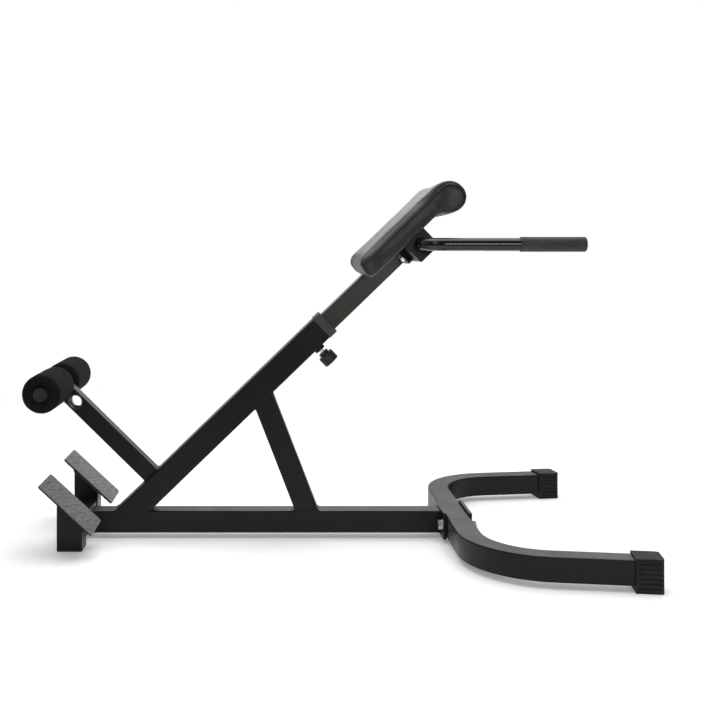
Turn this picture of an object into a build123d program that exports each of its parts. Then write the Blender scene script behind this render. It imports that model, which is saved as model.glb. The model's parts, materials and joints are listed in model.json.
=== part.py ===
from build123d import *
import math
import os

# A roman chair: a 45 degree bench for back extensions, with a hip pad that slides up and down.
# Sizes are in millimetres. +X points to the front, where the hand grips are, +Y to the left and
# +Z up. The origin is on the floor, under the middle of the whole chair.

# Whole chair
LENGTH = 1157.0  # back of the foam rollers to the front of the foot caps

# Tube stock
TUBE = 45.0  # side of the floor frame's square tubes and of the brace
MAIN = 50.0  # side of the sloping main tube
SLIM = 40.0  # side of the sliding pad post
ROLLER_TUBE = 35.0  # side of the roller post
STOUT = 50.0  # side of the rear posts and of the cross tube that carries the handles
WALL = 2.0
CORNER = 3.0  # outside corner radius of the square tubes
BAR = 25.0  # diameter of the handle bars and of the roller tube
PLATE = 6.0  # thickness of the bolted plates

# Floor frame
TUBE_Z = 33.5  # centre height of the floor tubes
BEAM_FRONT = 244.0
BEAM_REAR = -475.0
BEAM_TOP = TUBE_Z + TUBE / 2
REAR_X = BEAM_REAR - TUBE / 2  # centre of the rear cross tube and of the rear posts
POST_INNER_Y = 68.0
POST_Y = POST_INNER_Y + STOUT / 2
PLUG_FOOT = 3.0  # height of the plugs' feet under the rear posts

# Footplates
PEDAL_X = -492.0  # middle of the tread surface
PEDAL_Z = 97.0
PEDAL_DEG = 42.8  # how far the footplates slope down towards the front
PEDAL_LENGTH = 137.8
PEDAL_WIDTH = 108.0
PEDAL_Y = 126.0
PEDAL_CORNER = 7.0
TREAD = 2.5
PEDAL_PLATE = 2.5
STUD_SPAN = 110.0  # between a footplate's two studs
STUD = 6.0

# Front leg, one tube bent to a wide U
LEG_X = BEAM_FRONT + PLATE + TUBE / 2
LEG_CORNER_Y = 303.0  # where the straight runs would meet
LEG_BEND = 142.0
LEG_SPLAY_DEG = 8.0
FLANGE_WIDTH = 120.0
FLANGE_HEIGHT = 54.0
BOLT_SPAN = 84.0
BOLT = 10.0
BOLT_HOLE = 10.5
WASHER = 2.0
CAP_LENGTH = 48.0
CAP_SKIN = 3.8  # how far the rubber caps stand out around the tube
CAP_CORNER = 7.0
CAP_RIBS = 7

# Sloping frame. u runs up the main tube's axis and v square to it, upwards.
SLOPE_DEG = 44.0
SLOPE_X = -409.5  # where the axis is at the height TUBE_Z
MAIN_TOP = 570.0
BRACE_DEG = 111.3  # direction of the brace, upwards, from +X
BRACE_FOOT_X = -20.8  # where the brace's axis is at the height TUBE_Z
COLLAR_SIDE = 53.0
COLLAR = 19.0
LINER = 27.0
SLIDE_GAP = 0.2  # between the collar and the pad post

# Pull pin. w is the distance from the main tube's axis, outwards and downwards.
PIN_U = 537.5
SETTING_STEP = 80.0
SETTINGS = 3
PIN = 8.0
PIN_ROD = 4.0
PIN_TIP_W = SLIM / 2 + 0.5
PIN_SHOULDER_W = 34.0
BOSS = 23.0
BOSS_W = MAIN / 2 + 7.5
BARREL = 10.0
BARREL_BORE = 8.2
BARREL_W = 53.5
BARREL_LIP = 1.5
KNOB_NECK = 21.0
KNOB_NECK_W = 38.5
KNOB = 33.0
KNOB_W = 45.5
KNOB_END_W = 66.5
KNOB_FLUTES = 16
SPRING_WIRE = 0.9
SPRING_TURNS = 7

# Roller post and foam rollers
FOAM = 75.0
ROLLER_X = -LENGTH / 2 + FOAM / 2
ROLLER_Z = 315.2
ROLLER_POST_DEG = 44.4  # slope of the roller post, down towards the front
ROLLER_POST_END = 22.0  # post beyond the roller's axis
HOLE_PITCH = 52.0  # from the roller's axis to the spare hole
SPARE_BORE = 26.0
BUSH = 29.0
BUSH_FLANGE = 33.0
BUSH_LIP = 2.0
BUSH_DEPTH = 12.0
ROLLER_HALF = 180.0
FOAM_INNER_Y = 26.0
FOAM_OUTER_Y = 175.0
FOAM_EDGE = 9.0
SLEEVE = 28.0
RUNNING_GAP = 0.05

# Sliding carriage: pad post, handles and hip pad, in u and v
PAD_POST_BOTTOM = 293.0
PAD_POST_TOP = 789.0
CROSS_V = -8.7
JOINT_V = -5.7  # centre of the bolted plates
JOINT_HEIGHT = 44.0
CROSS_HALF = 118.0
CROSS_END = 4.0
CROSS_U = PAD_POST_TOP + 2 * PLATE + STOUT / 2
JOINT_HALF_Y = 45.0
JOINT_BOLT_Y = 33.0
HANDLE_Y = 170.0
HANDLE_BEND = 38.0
GRIP = 28.5
GRIP_START_X = 371.0
GRIP_END_X = 497.0
GRIP_CAP = 5.0
MOUNT_PLATE = 3.0
MOUNT_START = 719.0
MOUNT_END = 849.0
MOUNT_HALF_Y = 60.0
SPACER = 30.0  # width of the bar between the cross tube and the mounting plate
SCREW = 8.0
SCREW_U = (735.0, 777.0)
SCREW_Y = 42.0
BOARD = 12.0
BOARD_START = 716.0
BOARD_END = 892.0
BOARD_HALF_Y = 125.0
BOARD_V = SLIM / 2 + MOUNT_PLATE
PAD_START = 706.0
PAD_HALF_Y = 137.0
PAD_RIM_V = 11.3
PAD_TOP_V = 49.5
PAD_EDGE = 8.0
ROLL = 33.5  # radius of the pad's rolled front end
ROLL_U = 929.0

# Frames that the sloping parts are drawn in
SLOPE_SIN = math.sin(math.radians(SLOPE_DEG))
SLOPE_COS = math.cos(math.radians(SLOPE_DEG))
SLOPE = Plane(
    origin=(SLOPE_X, 0, TUBE_Z),
    x_dir=(SLOPE_COS, 0, SLOPE_SIN),
    z_dir=(-SLOPE_SIN, 0, SLOPE_COS),
).location
PIN_AXIS = Plane(
    origin=(SLOPE_X + PIN_U * SLOPE_COS, 0, TUBE_Z + PIN_U * SLOPE_SIN),
    x_dir=(SLOPE_COS, 0, SLOPE_SIN),
    z_dir=(SLOPE_SIN, 0, -SLOPE_COS),
).location
PEDAL_SIN = math.sin(math.radians(PEDAL_DEG))
PEDAL_COS = math.cos(math.radians(PEDAL_DEG))
PEDAL = Plane(
    origin=(PEDAL_X, 0, PEDAL_Z),
    x_dir=(PEDAL_COS, 0, -PEDAL_SIN),
    z_dir=(PEDAL_SIN, 0, PEDAL_COS),
).location
ROLLER_SIN = math.sin(math.radians(ROLLER_POST_DEG))
ROLLER_COS = math.cos(math.radians(ROLLER_POST_DEG))
ROLLER = Plane(
    origin=(ROLLER_X, 0, ROLLER_Z),
    x_dir=(ROLLER_COS, 0, -ROLLER_SIN),
    z_dir=(ROLLER_SIN, 0, ROLLER_COS),
).location
BRACE = Plane(
    origin=(BRACE_FOOT_X, 0, TUBE_Z),
    x_dir=(math.cos(math.radians(BRACE_DEG)), 0, math.sin(math.radians(BRACE_DEG))),
    z_dir=(-math.sin(math.radians(BRACE_DEG)), 0, math.cos(math.radians(BRACE_DEG))),
).location

SIDES = {"right": -1, "left": 1}
FAR = 1000.0  # long enough to cut right through any part


def save(name, shape):
    shape.label = name
    export_step(shape, os.path.join("parts", name + ".step"))


def group(solids):
    return Compound(children=list(solids))


def block(x, y, z):
    """A box from its low and high limits along each axis."""
    size = [high - low for low, high in (x, y, z)]
    middle = [(high + low) / 2 for low, high in (x, y, z)]
    return Pos(*middle) * Box(*size)


def square(side, corner=CORNER):
    return RectangleRounded(side, side, corner)


def hollow(side, wall=WALL):
    return square(side) - square(side - 2 * wall, CORNER - wall)


def tube_x(start, end, side):
    """A square tube along X, centred on the X axis."""
    return extrude(Plane.YZ.offset(start) * hollow(side), end - start)


def tube_y(half, side):
    """A square tube along Y, centred on the origin."""
    return Rot(0, 0, 90) * tube_x(-half, half, side)


def plate_x(start, end, width, height, corner=5.0):
    """A flat plate, square to X, with rounded corners."""
    return extrude(Plane.YZ.offset(start) * RectangleRounded(width, height, corner), end - start)


def rod_x(diameter, start, end):
    return extrude(Plane.YZ.offset(start) * Circle(diameter / 2), end - start)


def rod_y(diameter, start, end):
    return Pos(0, (start + end) / 2, 0) * Rot(90, 0, 0) * Cylinder(diameter / 2, abs(end - start))


def rod_z(diameter, start, end):
    return Pos(0, 0, (start + end) / 2) * Cylinder(diameter / 2, end - start)


def ring_y(outer, inner, start, end):
    return rod_y(outer, start, end) - rod_y(inner, start - 1, end + 1)


def hexagon_x(flats, start, end):
    return extrude(Plane.YZ.offset(start) * RegularPolygon(flats / 2, 6, major_radius=False), end - start)


def hexagon_z(flats, start, end):
    return extrude(Plane.XY.offset(start) * RegularPolygon(flats / 2, 6, major_radius=False), end - start)


# Floor frame


def base_beam():
    return Pos(0, 0, TUBE_Z) * tube_x(BEAM_REAR, BEAM_FRONT, TUBE)


def rear_cross_tube():
    return Pos(REAR_X, 0, TUBE_Z) * tube_y(POST_INNER_Y, TUBE)


def rear_post(side):
    """A rear post, its top cut to the slope of the footplate on it."""
    post = Pos(REAR_X, side * POST_Y, PLUG_FOOT) * extrude(hollow(STOUT), 200)
    above = PEDAL * block((-FAR, FAR), (-FAR, FAR), (-TREAD - PEDAL_PLATE, FAR))
    return post - above


def rear_foot_plug(side):
    """A plastic plug that closes a rear post and stands on the floor."""
    foot = extrude(square(STOUT), PLUG_FOOT)
    foot = chamfer(foot.edges().group_by(Axis.Z)[0], 1)
    insert = extrude(Plane.XY.offset(PLUG_FOOT) * square(STOUT - 2 * WALL - 0.4, 1), 15)
    return Pos(REAR_X, side * POST_Y, 0) * (foot + insert)


def pedal_outline():
    return RectangleRounded(PEDAL_LENGTH, PEDAL_WIDTH, PEDAL_CORNER)


def stud_places():
    return [Pos(x, 0, 0) for x in (-STUD_SPAN / 2, STUD_SPAN / 2)]


def footplate(side):
    """The steel plate that is welded on top of a rear post."""
    plate = extrude(Plane.XY.offset(-TREAD - PEDAL_PLATE) * pedal_outline(), PEDAL_PLATE)
    for place in stud_places():
        plate -= place * rod_z(STUD + 0.6, -20, 5)
    return PEDAL * Pos(0, side * PEDAL_Y, 0) * plate


def footplate_tread(side):
    """The non-slip cover of a footplate, with its studs' heads moulded in from below."""
    tread = extrude(Plane.XY.offset(-TREAD) * pedal_outline(), TREAD)
    tread = fillet(tread.edges().group_by(Axis.Z)[-1], 1)
    for place in stud_places():
        tread -= place * rod_z(14.2, -TREAD - 1, -TREAD + 1.4)
    return PEDAL * Pos(0, side * PEDAL_Y, 0) * tread


def footplate_studs():
    """Flat-headed studs that hold the treads."""
    stud = rod_z(14, -TREAD, -TREAD + 1.3) + rod_z(STUD, -20, -TREAD)
    return group(
        PEDAL * Pos(0, side * PEDAL_Y, 0) * place * stud for side in SIDES.values() for place in stud_places()
    )


def footplate_nuts():
    under = -TREAD - PEDAL_PLATE
    nut = hexagon_z(10, under - 5.5, under) + rod_z(14, under - 1.2, under) - rod_z(STUD + 0.1, -25, 0)
    return group(
        PEDAL * Pos(0, side * PEDAL_Y, 0) * place * nut for side in SIDES.values() for place in stud_places()
    )


# Front leg


def bolt_places():
    return [Pos(0, y, TUBE_Z) for y in (-BOLT_SPAN / 2, BOLT_SPAN / 2)]


def flange(start):
    plate = Pos(0, 0, TUBE_Z) * plate_x(start, start + PLATE, FLANGE_WIDTH, FLANGE_HEIGHT)
    for place in bolt_places():
        plate -= place * rod_x(BOLT_HOLE, start - 1, start + PLATE + 1)
    return plate


def leg_run():
    """Length of a leg past the corner, up to the front of its cap."""
    splay = math.radians(LEG_SPLAY_DEG)
    half = TUBE / 2 + CAP_SKIN
    inner_corner = (half - CAP_CORNER) * math.sin(splay) + CAP_CORNER
    return (LENGTH / 2 - LEG_X - inner_corner) / math.cos(splay) + CAP_CORNER


def leg_frame(side):
    """A frame at the corner of the U, with X along the leg."""
    splay = math.radians(LEG_SPLAY_DEG)
    return Plane(
        origin=(LEG_X, side * LEG_CORNER_Y, TUBE_Z),
        x_dir=(math.cos(splay), side * math.sin(splay), 0),
        z_dir=(0, 0, 1),
    ).location


def front_leg():
    tip = leg_run() - CAP_SKIN
    ends = [(leg_frame(side) * Pos(tip, 0, 0)).position for side in (-1, 1)]
    corners = [Vector(LEG_X, side * LEG_CORNER_Y, TUBE_Z) for side in (-1, 1)]
    path = FilletPolyline(ends[0], corners[0], corners[1], ends[1], radius=LEG_BEND)
    start = Plane(origin=path @ 0, x_dir=(0, 0, 1), z_dir=path % 0)
    leg = sweep(start * hollow(TUBE), path=path)
    for place in bolt_places():
        leg -= place * rod_x(BOLT_HOLE, LEG_X - TUBE, LEG_X + TUBE)
    return leg


def leg_bolts():
    head = BEAM_FRONT - WASHER
    bolt = hexagon_x(17, head - 6.4, head) + rod_x(BOLT, head, LEG_X + TUBE / 2 + PLATE + WASHER + 12)
    return group(place * bolt for place in bolt_places())


def leg_washers():
    back = LEG_X + TUBE / 2 + PLATE
    washers = []
    for place in bolt_places():
        for start in (BEAM_FRONT - WASHER, back):
            hole = rod_x(BOLT_HOLE, start - 1, start + WASHER + 1)
            washers.append(place * (rod_x(20, start, start + WASHER) - hole))
    return group(washers)


def leg_nuts():
    start = LEG_X + TUBE / 2 + PLATE + WASHER
    nut = hexagon_x(17, start, start + 8) - rod_x(BOLT + 0.1, start - 1, start + 9)
    return group(place * nut for place in bolt_places())


def foot_cap(side):
    """A ribbed rubber cap over the end of a leg, down to the floor."""
    half = TUBE / 2 + CAP_SKIN
    front = leg_run()
    length = (front - CAP_LENGTH, front)
    cap = block(length, (-half, half), (-TUBE_Z, TUBE / 2 + CAP_SKIN))
    cap = fillet(cap.edges().filter_by(Axis.Z).group_by(Axis.X)[-1], CAP_CORNER)
    height = TUBE_Z + TUBE / 2 + CAP_SKIN
    core = block((front - CAP_LENGTH - 1, front - 1.5), (-half + 1.5, half - 1.5), (-FAR, FAR))
    core = fillet(core.edges().filter_by(Axis.Z).group_by(Axis.X)[-1], CAP_CORNER - 1.5)
    shell = block((front - CAP_LENGTH + 6, front + 1), (-half - 1, half + 1), (-1, 1)) - core
    for i in range(1, CAP_RIBS):
        cap -= Pos(0, 0, -TUBE_Z + height * i / CAP_RIBS) * shell
    cap -= extrude(Plane.YZ.offset(front - CAP_LENGTH - 1) * square(TUBE), CAP_LENGTH + 1 - CAP_SKIN)
    return leg_frame(side) * cap


# Sloping frame


def below_beam_top():
    return block((-FAR, FAR), (-FAR, FAR), (-FAR, BEAM_TOP))


def main_tube():
    tube = SLOPE * tube_x(-60, MAIN_TOP, MAIN)
    return tube - below_beam_top() - PIN_AXIS * rod_z(PIN + 0.6, 15, 30)


def support_brace():
    above = SLOPE * block((-FAR, FAR), (-FAR, FAR), (-MAIN / 2, FAR))
    return BRACE * tube_x(-20, 360, TUBE) - below_beam_top() - above


def collar_sleeve():
    """The plastic guide in the mouth of the main tube."""
    rim = extrude(Plane.YZ.offset(MAIN_TOP) * square(COLLAR_SIDE, 7), COLLAR)
    rim = fillet(rim.edges().group_by(Axis.X)[-1], 2)
    liner = extrude(Plane.YZ.offset(MAIN_TOP - LINER) * square(MAIN - 2 * WALL - 0.2, 1), LINER)
    opening = square(SLIM + 2 * SLIDE_GAP, CORNER + SLIDE_GAP)
    return SLOPE * (rim + liner - extrude(Plane.YZ.offset(MAIN_TOP - LINER - 1) * opening, LINER + COLLAR + 2))


def pin_boss():
    boss = rod_z(BOSS, MAIN / 2, BOSS_W)
    boss = fillet(boss.edges().group_by(Axis.Z)[-1], 1.5)
    return PIN_AXIS * (boss - rod_z(BARREL + 0.1, MAIN / 2 - 1, BOSS_W + 1))


def pin_barrel():
    """The steel barrel that guides the pull pin and holds its spring."""
    barrel = rod_z(BARREL, MAIN / 2, BARREL_W)
    barrel -= rod_z(BARREL_BORE, MAIN / 2 - 1, BARREL_W - BARREL_LIP)
    return PIN_AXIS * (barrel - rod_z(PIN_ROD + 0.4, BARREL_W - BARREL_LIP - 1, BARREL_W + 1))


def pull_pin():
    tip = rod_z(PIN, PIN_TIP_W, PIN_SHOULDER_W)
    tip = chamfer(tip.edges().group_by(Axis.Z)[0], 1)
    return PIN_AXIS * (tip + rod_z(PIN_ROD, PIN_SHOULDER_W, KNOB_END_W - 1.5))


def pin_spring():
    """A compression spring between the pin's shoulder and the barrel's lip."""
    radius = (BARREL_BORE - 0.4 - SPRING_WIRE) / 2
    start = PIN_SHOULDER_W + SPRING_WIRE
    length = BARREL_W - BARREL_LIP - SPRING_WIRE - start
    helix = Pos(0, 0, start) * Helix(length / SPRING_TURNS, length, radius)
    wire = Plane(origin=helix @ 0, z_dir=helix % 0) * Circle(SPRING_WIRE / 2)
    return PIN_AXIS * sweep(wire, path=helix, is_frenet=True)


def pull_knob():
    """The fluted hand knob, hollow so that it slides over the barrel."""
    knob = rod_z(KNOB_NECK, KNOB_NECK_W, KNOB_W)
    head = rod_z(KNOB, KNOB_W, KNOB_END_W)
    head = fillet(head.edges().group_by(Axis.Z)[-1], 2.5)
    for place in PolarLocations(KNOB / 2 + 1.2, KNOB_FLUTES):
        head -= place * rod_z(5, KNOB_W - 1, KNOB_END_W + 1)
    knob += head
    knob -= rod_z(BARREL + 0.6, KNOB_NECK_W - 1, BARREL_W + 8)
    return PIN_AXIS * (knob - rod_z(PIN_ROD + 0.05, BARREL_W, KNOB_END_W - 1.5))


# Roller post and rollers


def roller_post():
    post = ROLLER * tube_x(-ROLLER_POST_END, 320, ROLLER_TUBE)
    below = SLOPE * block((-FAR, FAR), (-FAR, FAR), (-FAR, MAIN / 2))
    for x in (0, HOLE_PITCH):
        post -= ROLLER * Pos(x, 0, 0) * rod_y(BUSH + 0.1, -ROLLER_TUBE, ROLLER_TUBE)
    return post - below


def roller_post_cap():
    start = -ROLLER_POST_END
    lid = extrude(Plane.YZ.offset(start - 3) * square(ROLLER_TUBE), 3)
    lid = fillet(lid.edges().group_by(Axis.X)[0], 1.5)
    inner = ROLLER_TUBE - 2 * WALL - 0.4
    skirt = square(inner, 1) - square(inner - 4, 0.5)
    return ROLLER * (lid + extrude(Plane.YZ.offset(start) * skirt, 6))


def bushes(x, bore):
    """A pair of flanged bushes, one in each side wall of the roller post."""
    pair = []
    for side in SIDES.values():
        face = side * ROLLER_TUBE / 2
        flange_ring = rod_y(BUSH_FLANGE, face, face + side * BUSH_LIP)
        sleeve = rod_y(BUSH, face - side * BUSH_DEPTH, face)
        bore_rod = rod_y(bore, face - side * (BUSH_DEPTH + 1), face + side * (BUSH_LIP + 1))
        pair.append(ROLLER * Pos(x, 0, 0) * (flange_ring + sleeve - bore_rod))
    return group(pair)


def roller_tube():
    return ROLLER * ring_y(BAR, BAR - 2 * WALL, -ROLLER_HALF, ROLLER_HALF)


def roller_plug(side):
    lid = rod_y(BAR, side * ROLLER_HALF, side * (ROLLER_HALF + 2.5))
    insert = rod_y(BAR - 2 * WALL - 0.2, side * (ROLLER_HALF - 12), side * ROLLER_HALF)
    return ROLLER * (lid + insert)


def roller_stops():
    """Rings on the roller tube that keep the foam off the post."""
    start = ROLLER_TUBE / 2 + BUSH_LIP + 0.3
    return group(
        ROLLER * ring_y(BUSH_FLANGE, BAR + 0.1, *sorted((side * start, side * (start + 4.7))))
        for side in SIDES.values()
    )


def roller_sleeve(side):
    ends = sorted((side * (FOAM_INNER_Y - 1), side * (FOAM_OUTER_Y + 1)))
    return ROLLER * ring_y(SLEEVE, BAR + 2 * RUNNING_GAP, *ends)


def roller_foam(side):
    foam = rod_y(FOAM, side * FOAM_INNER_Y, side * FOAM_OUTER_Y)
    foam = fillet(foam.edges(), FOAM_EDGE)
    return ROLLER * (foam - rod_y(SLEEVE + 0.05, side * 10, side * 190))


# Sliding carriage


def pad_post():
    post = tube_x(PAD_POST_BOTTOM, PAD_POST_TOP, SLIM)
    for i in range(SETTINGS):
        post -= Pos(PIN_U - i * SETTING_STEP, 0, 0) * rod_z(PIN + 1, -SLIM, -SLIM / 4)
    return SLOPE * post


def pad_post_plug():
    lid = extrude(Plane.YZ.offset(PAD_POST_BOTTOM - 3) * square(SLIM - 0.4), 3)
    insert = extrude(Plane.YZ.offset(PAD_POST_BOTTOM) * square(SLIM - 2 * WALL - 0.4, 1), 18)
    return SLOPE * (lid + insert)


def joint_bolt_places():
    return [Pos(0, y, CROSS_V) for y in (-JOINT_BOLT_Y, JOINT_BOLT_Y)]


def joint_plate(start):
    plate = Pos(0, 0, JOINT_V) * plate_x(start, start + PLATE, 2 * JOINT_HALF_Y, JOINT_HEIGHT)
    for place in joint_bolt_places():
        plate -= place * rod_x(BOLT_HOLE, start - 1, start + PLATE + 1)
    return SLOPE * plate


def joint_bolts():
    head = PAD_POST_TOP
    bolt = hexagon_x(17, head - 6.4, head) + rod_x(BOLT, head, head + 2 * PLATE + WALL + 12)
    return group(SLOPE * place * bolt for place in joint_bolt_places())


def joint_nuts():
    start = PAD_POST_TOP + 2 * PLATE + WALL
    nut = hexagon_x(17, start, start + 8) - rod_x(BOLT + 0.1, start - 1, start + 9)
    return group(SLOPE * place * nut for place in joint_bolt_places())


def handle_cross_tube():
    tube = Pos(CROSS_U, 0, CROSS_V) * tube_y(CROSS_HALF, STOUT)
    for place in joint_bolt_places():
        tube -= place * rod_x(BOLT_HOLE, CROSS_U - STOUT, CROSS_U)
    return SLOPE * tube


def cross_tube_end(side):
    end = extrude(Plane.XZ.offset(-side * CROSS_HALF) * square(STOUT), -side * CROSS_END)
    return SLOPE * Pos(CROSS_U, 0, CROSS_V) * end


def handle_root():
    """Where the handle bars' axis crosses the middle plane."""
    return (SLOPE * Pos(CROSS_U, 0, CROSS_V)).position


def handle_bar(side):
    root = handle_root()
    path = FilletPolyline(
        Vector(root.X, side * (CROSS_HALF + CROSS_END), root.Z),
        Vector(root.X, side * HANDLE_Y, root.Z),
        Vector(GRIP_END_X - GRIP_CAP, side * HANDLE_Y, root.Z),
        radius=HANDLE_BEND,
    )
    start = Plane(origin=path @ 0, z_dir=path % 0)
    return sweep(start * (Circle(BAR / 2) - Circle(BAR / 2 - WALL)), path=path)


def handle_grip(side):
    grip = rod_x(GRIP, GRIP_START_X, GRIP_END_X)
    grip = fillet(grip.edges().group_by(Axis.X)[-1], 3)
    grip = fillet(grip.edges().group_by(Axis.X)[0], 1)
    grip -= rod_x(BAR, GRIP_START_X - 1, GRIP_END_X - GRIP_CAP)
    return Pos(0, side * HANDLE_Y, handle_root().Z) * grip


def screw_places():
    return [Pos(u, y, 0) for u in SCREW_U for y in (-SCREW_Y, SCREW_Y)]


def pad_mount_plate():
    """The flat plate on top of the post and cross tube that the pad is screwed to."""
    plate = block((MOUNT_START, MOUNT_END), (-MOUNT_HALF_Y, MOUNT_HALF_Y), (SLIM / 2, BOARD_V))
    plate = fillet(plate.edges().filter_by(Axis.Z), 8)
    for place in screw_places():
        plate -= place * rod_z(SCREW + 0.8, 0, 50)
    return SLOPE * plate


def pad_spacer():
    """The bar that fills the step between the cross tube and the mounting plate."""
    across = (CROSS_U - SPACER / 2, CROSS_U + SPACER / 2)
    return SLOPE * block(across, (-MOUNT_HALF_Y, MOUNT_HALF_Y), (CROSS_V + STOUT / 2, SLIM / 2))


def pad_screws():
    under = SLIM / 2
    screw = hexagon_z(13, under - 5, under) + rod_z(SCREW, under, BOARD_V + BOARD - 3)
    return group(SLOPE * place * screw for place in screw_places())


def pad_tee_nuts():
    top = BOARD_V + BOARD
    nut = rod_z(19, top - 1.5, top) + rod_z(10, top - 9, top - 1.5) - rod_z(SCREW + 0.1, 0, 60)
    return group(SLOPE * place * nut for place in screw_places())


def pad_board():
    top = BOARD_V + BOARD
    board = block((BOARD_START, BOARD_END), (-BOARD_HALF_Y, BOARD_HALF_Y), (BOARD_V, top))
    board = fillet(board.edges().filter_by(Axis.Z), 12)
    for place in screw_places():
        board -= place * (rod_z(10.2, BOARD_V - 1, top + 1) + rod_z(19.2, top - 1.6, top + 1))
    return SLOPE * board


def hip_pad():
    """The cushion: a flat slab with a rolled front end and a rim that hides the board."""
    slab = block((PAD_START, ROLL_U), (-PAD_HALF_Y, PAD_HALF_Y), (PAD_RIM_V, PAD_TOP_V))
    slab = fillet(slab.edges().filter_by(Axis.Y).group_by(Axis.X)[0], PAD_EDGE)
    roll = Pos(ROLL_U, 0, PAD_TOP_V - ROLL) * rod_y(2 * ROLL, -PAD_HALF_Y, PAD_HALF_Y)
    gap = 0.3
    recess = block(
        (BOARD_START - gap, BOARD_END + gap),
        (-BOARD_HALF_Y - gap, BOARD_HALF_Y + gap),
        (PAD_RIM_V - 50, BOARD_V + BOARD),
    )
    half = SLIM / 2 + gap
    notch = block((PAD_START - 10, BOARD_START), (-half, half), (-half, half))
    return SLOPE * (slab + roll - recess - notch)


def build():
    parts = {
        "base_beam": base_beam(),
        "rear_cross_tube": rear_cross_tube(),
        "footplate_studs": footplate_studs(),
        "footplate_nuts": footplate_nuts(),
        "front_flange_plate": flange(BEAM_FRONT),
        "front_leg": front_leg(),
        "leg_back_plate": flange(LEG_X + TUBE / 2),
        "leg_bolts": leg_bolts(),
        "leg_washers": leg_washers(),
        "leg_nuts": leg_nuts(),
        "main_tube": main_tube(),
        "support_brace": support_brace(),
        "collar_sleeve": collar_sleeve(),
        "pin_boss": pin_boss(),
        "pin_barrel": pin_barrel(),
        "pin_spring": pin_spring(),
        "pull_pin": pull_pin(),
        "pull_knob": pull_knob(),
        "roller_post": roller_post(),
        "roller_post_cap": roller_post_cap(),
        "roller_tube_bushes": bushes(0, BAR + 2 * RUNNING_GAP),
        "spare_hole_bushes": bushes(HOLE_PITCH, SPARE_BORE),
        "roller_tube": roller_tube(),
        "roller_stops": roller_stops(),
        "pad_post": pad_post(),
        "pad_post_plug": pad_post_plug(),
        "post_end_plate": joint_plate(PAD_POST_TOP),
        "cross_tube_plate": joint_plate(PAD_POST_TOP + PLATE),
        "joint_bolts": joint_bolts(),
        "joint_nuts": joint_nuts(),
        "handle_cross_tube": handle_cross_tube(),
        "pad_mount_plate": pad_mount_plate(),
        "pad_spacer": pad_spacer(),
        "pad_screws": pad_screws(),
        "pad_tee_nuts": pad_tee_nuts(),
        "pad_board": pad_board(),
        "hip_pad": hip_pad(),
    }
    paired = {
        "rear_post": rear_post,
        "rear_foot_plug": rear_foot_plug,
        "footplate": footplate,
        "footplate_tread": footplate_tread,
        "foot_cap": foot_cap,
        "roller_plug": roller_plug,
        "roller_sleeve": roller_sleeve,
        "roller_foam": roller_foam,
        "cross_tube_end": cross_tube_end,
        "handle_bar": handle_bar,
        "handle_grip": handle_grip,
    }
    for name, make in paired.items():
        for word, side in SIDES.items():
            parts[name + "_" + word] = make(side)
    return parts


os.makedirs("parts", exist_ok=True)
for part_name, part_shape in build().items():
    save(part_name, part_shape)
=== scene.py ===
"""The looks of a roman chair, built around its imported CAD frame. Lengths are in metres."""

import json
import math

import bmesh
import bpy
from mathutils import Matrix, Vector, noise
from mathutils.bvhtree import BVHTree
from mathutils.kdtree import KDTree


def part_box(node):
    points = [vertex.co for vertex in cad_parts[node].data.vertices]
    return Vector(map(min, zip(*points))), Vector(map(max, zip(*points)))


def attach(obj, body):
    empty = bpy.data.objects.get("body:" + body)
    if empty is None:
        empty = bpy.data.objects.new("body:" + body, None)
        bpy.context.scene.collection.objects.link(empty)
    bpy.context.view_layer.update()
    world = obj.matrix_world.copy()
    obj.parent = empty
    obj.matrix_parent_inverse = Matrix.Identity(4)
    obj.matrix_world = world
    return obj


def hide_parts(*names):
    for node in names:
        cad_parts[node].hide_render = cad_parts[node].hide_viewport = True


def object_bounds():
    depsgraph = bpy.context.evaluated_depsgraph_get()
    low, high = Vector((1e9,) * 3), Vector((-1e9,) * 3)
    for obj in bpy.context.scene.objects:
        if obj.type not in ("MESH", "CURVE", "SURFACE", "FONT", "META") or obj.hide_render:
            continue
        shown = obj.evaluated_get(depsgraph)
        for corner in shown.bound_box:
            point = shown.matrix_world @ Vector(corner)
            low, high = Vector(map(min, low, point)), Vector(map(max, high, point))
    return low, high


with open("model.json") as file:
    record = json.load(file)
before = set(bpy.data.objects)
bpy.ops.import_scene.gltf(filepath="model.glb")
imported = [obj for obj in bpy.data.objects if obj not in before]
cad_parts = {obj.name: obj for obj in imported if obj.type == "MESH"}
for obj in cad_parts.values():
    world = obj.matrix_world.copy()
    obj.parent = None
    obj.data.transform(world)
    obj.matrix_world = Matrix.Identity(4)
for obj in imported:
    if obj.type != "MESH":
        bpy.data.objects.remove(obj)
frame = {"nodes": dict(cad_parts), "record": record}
cad_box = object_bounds()
NODES = frame["nodes"]
RECORD = frame["record"]

# Driving dimensions, as in the CAD part
TUBE = 0.045
MAIN = 0.050
SLIM = 0.040
ROLLER_TUBE = 0.035
STOUT = 0.050
BAR = 0.025
TREAD = 0.0025
PEDAL_PLATE = 0.0025
PEDAL_DEG = 42.8
PEDAL_LENGTH = 0.1378
PEDAL_WIDTH = 0.108
PEDAL_CORNER = 0.007
ROLLER_POST_DEG = 44.4
BRACE_DEG = 111.3
PAD_EDGE = 0.008  # radius of the hip pad's edges
ROLL = 0.0335  # radius of its rolled front end
CLEAR_OF_ROLL = 0.02  # the pad's rim is straight this far behind the roll

# Welds
BEAD = 0.0021  # radius of the weld beads
BEAD_STEP = 0.0009  # between the rings of a bead
BEAD_CORNER = 0.003  # radius where a bead turns a tube's corner

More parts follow.
